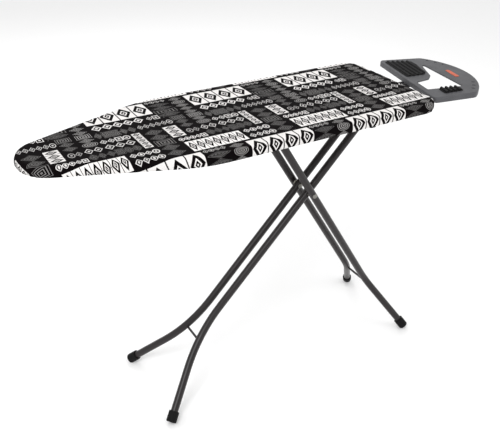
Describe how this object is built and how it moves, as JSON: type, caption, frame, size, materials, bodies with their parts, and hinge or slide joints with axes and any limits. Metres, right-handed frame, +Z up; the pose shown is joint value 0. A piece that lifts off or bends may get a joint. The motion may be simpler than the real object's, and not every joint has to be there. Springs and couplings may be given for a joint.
{
  "type": "ironing board",
  "caption": "Folding ironing board: tapered padded top with a printed cover, crossed tube legs with splayed feet, sliding height lock and a swivelling iron rest.",
  "frame": {"origin": "on the floor, under the middle of the whole length and width", "axes": "+X from the nose to the iron rest, +Y to the board's left side, +Z up"},
  "size_m": [1.3599, 0.4, 0.843],
  "materials": {
    "printed_cotton": "woven cotton, near-black with a pale abstract print",
    "foam": "soft foam sheet",
    "painted_mesh": "satin grey paint on pressed steel sheet",
    "frame_paint": "satin dark paint",
    "tube_paint": "semi-gloss anthracite powder coat",
    "zinc_steel": "bright zinc plate",
    "spring_steel": "oiled spring wire",
    "grey_plastic": "fine-grained moulded polypropylene",
    "black_plastic": "moulded black plastic",
    "nylon": "natural nylon",
    "silicone": "matte black silicone",
    "orange_plastic": "plain orange moulded strip",
    "foot_rubber": "black rubber"
  },
  "bodies": {
    "board": {"ironing_cover": "printed_cotton", "foam_pad": "foam", "mesh_top": "painted_mesh", "edge_frame": "frame_paint", "nose_rail": "frame_paint", "front_rail": "frame_paint", "middle_rail": "frame_paint", "pivot_rail": "frame_paint", "end_rail": "frame_paint", "guide_rail_left": "frame_paint", "guide_rail_right": "frame_paint", "pivot_bracket": "frame_paint", "bracket_rivets": "zinc_steel", "rest_arm": "frame_paint", "arm_bolts": "zinc_steel", "swivel_bolt": "zinc_steel", "swivel_washer": "nylon", "lever_bracket": "frame_paint", "lever_pin": "zinc_steel", "lever_spring": "spring_steel"},
    "iron_rest": {"iron_rest_tray": "grey_plastic", "rest_pad_rear": "silicone", "rest_pad_front": "silicone", "rest_badge": "orange_plastic"},
    "inner_leg": {"inner_tube_left": "tube_paint", "inner_tube_right": "tube_paint", "inner_brace": "tube_paint", "inner_foot_left": "foot_rubber", "inner_foot_right": "foot_rubber", "pivot_axle": "zinc_steel", "pivot_washers": "nylon", "inner_tube_plugs": "black_plastic", "cross_rivets": "zinc_steel", "cross_washers": "nylon"},
    "outer_leg": {"outer_tube_left": "tube_paint", "outer_tube_right": "tube_paint", "outer_brace": "tube_paint", "outer_foot_left": "foot_rubber", "outer_foot_right": "foot_rubber", "top_bar": "zinc_steel", "bar_lugs": "tube_paint", "bar_glides": "nylon", "outer_tube_plugs": "black_plastic"},
    "height_lever": {"height_lever": "zinc_steel", "lever_grip": "black_plastic"},
    "lock": {"lock_comb": "zinc_steel", "lock_rod": "zinc_steel"}
  },
  "joints": [
    {"name": "leg_fold", "type": "hinge", "parent": "board", "child": "inner_leg", "pos_m": [0.341, 0, 0.7954], "axis": [0, 1, 0], "range_deg": [0, 46.3]},
    {"name": "cross_pivot", "type": "hinge", "parent": "inner_leg", "child": "outer_leg", "pos_m": [0.11531, 0, 0.55904], "axis": [0, 1, 0], "range_deg": [-104.4, 0]},
    {"name": "rest_swivel", "type": "hinge", "parent": "board", "child": "iron_rest", "pos_m": [0.48053, 0, 0.828], "axis": [0, 0, 1], "range_deg": [0, 27]},
    {"name": "lever_pull", "type": "hinge", "parent": "board", "child": "height_lever", "pos_m": [0.2, -0.125, 0.8055], "axis": [0, 0, 1], "range_deg": [0, 18], "stiffness_Nm_per_rad": 1, "springref_deg": -17.19},
    {"name": "lock_slide", "type": "slide", "parent": "board", "child": "lock", "axis": [1, 0, 0], "range_m": [-0.00775, 0]}
  ],
  "couplings": [
    {"joint": "cross_pivot", "follows": "leg_fold", "ratio": -2.2509},
    {"joint": "lock_slide", "follows": "lever_pull", "m_per_rad": -0.0246}
  ]
}
